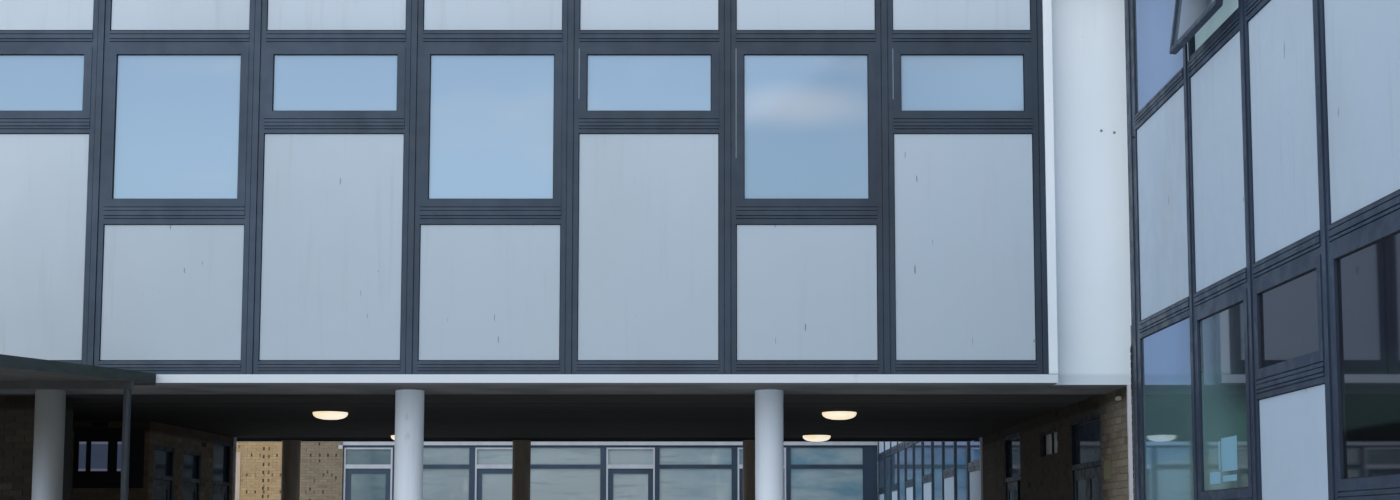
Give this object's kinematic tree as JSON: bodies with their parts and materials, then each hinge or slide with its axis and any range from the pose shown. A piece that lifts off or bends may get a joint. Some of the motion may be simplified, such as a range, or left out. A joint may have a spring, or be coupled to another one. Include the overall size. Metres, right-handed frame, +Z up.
{
  "type": "school building",
  "caption": "School building round a court: an upper storey on columns over a passage, a two-storey glazed wing and a low range, with hinged doors in the passage.",
  "frame": {"origin": "centre of the plan at ground level", "axes": "+Z up, +Y from the front towards the rear of the court, +X from the block over the passage towards the wing"},
  "size_m": [24.26, 38.99, 7.35],
  "materials": {
    "frame": "satin slate-blue powder coat",
    "pale_frame": "satin pale grey powder coat",
    "panel": "fine-textured pale blue-grey infill panels",
    "render": "smooth white render with faint stains",
    "glazing": "clear glazing that mirrors the sky",
    "brick": "buff brick in stretcher bond",
    "concrete": "fair-faced concrete",
    "dark_metal": "dark paint",
    "lamp": "warm opal diffuser",
    "roofing": "mineral roofing felt",
    "canopy": "weathered grey-green boarding",
    "post": "painted steel tube"
  },
  "bodies": {
    "building": {"link_columns": "concrete", "link_edge_beams": "concrete", "link_floor_slab": "concrete", "link_soffit": "dark_metal", "link_soffit_lights": "lamp", "link_front_mullions": "frame", "link_front_transoms": "frame", "link_front_panels": "panel", "link_front_casements": "frame", "link_front_glass": "glazing", "link_white_trim": "render", "link_roof": "roofing", "rendered_piers": "render", "party_walls": "render", "parapets": "render", "copings": "frame", "back_frames": "frame", "back_panels": "panel", "back_glass": "glazing", "wing_ground_floor": "concrete", "wing_first_floor": "concrete", "wing_roof": "roofing", "wing_west_mullions": "frame", "wing_west_transoms": "frame", "wing_west_panels": "panel", "wing_west_casements": "frame", "wing_west_glass": "glazing", "passage_east_wall": "brick", "passage_west_wall": "brick", "door_lintels": "brick", "door_jambs": "frame", "door_heads": "frame", "high_window_frame": "frame", "passage_glass": "glazing", "corner_trims": "render", "screen_wall": "brick", "lodge_walls": "brick", "door_pivots": "dark_metal", "lodge_window_frame": "dark_metal", "lodge_window_glass": "glazing", "lodge_floor": "concrete", "canopy_roof": "canopy", "canopy_beams": "canopy", "canopy_posts": "post", "range_floor": "concrete", "range_back_wall": "brick", "range_brick_front": "brick", "range_front_frame": "frame", "range_pale_frames": "pale_frame", "range_sashes": "frame", "range_front_glass": "glazing", "range_roof": "roofing", "range_fascia": "render"},
    "door_a_left": {"door_a_left": "dark_metal"},
    "door_a_right": {"door_a_right": "dark_metal"},
    "door_b_leaf": {"door_b_leaf": "dark_metal"},
    "door_c_leaf": {"door_c_leaf": "dark_metal"},
    "door_d_leaf": {"door_d_leaf": "dark_metal"},
    "door_e_leaf": {"door_e_leaf": "dark_metal"}
  },
  "joints": [
    {"name": "door_a_left_hinge", "type": "hinge", "parent": "building", "child": "door_a_left", "pos_m": [5.142, -9.251, 1.1], "axis": [0, 0, 1], "range_deg": [-90, 0]},
    {"name": "door_a_right_hinge", "type": "hinge", "parent": "building", "child": "door_a_right", "pos_m": [5.142, -10.659, 1.1], "axis": [0, 0, 1], "range_deg": [0, 90]},
    {"name": "door_b_hinge", "type": "hinge", "parent": "building", "child": "door_b_leaf", "pos_m": [5.142, -4.671, 1.1], "axis": [0, 0, 1], "range_deg": [-90, 0]},
    {"name": "door_c_hinge", "type": "hinge", "parent": "building", "child": "door_c_leaf", "pos_m": [-6.875, -6.149, 1.1], "axis": [0, 0, 1], "range_deg": [-90, 0]},
    {"name": "door_d_hinge", "type": "hinge", "parent": "building", "child": "door_d_leaf", "pos_m": [-6.875, -4.949, 1.1], "axis": [0, 0, 1], "range_deg": [-90, 0]},
    {"name": "door_e_hinge", "type": "hinge", "parent": "building", "child": "door_e_leaf", "pos_m": [-6.875, -2.781, 1.1], "axis": [0, 0, 1], "range_deg": [0, 90]}
  ]
}
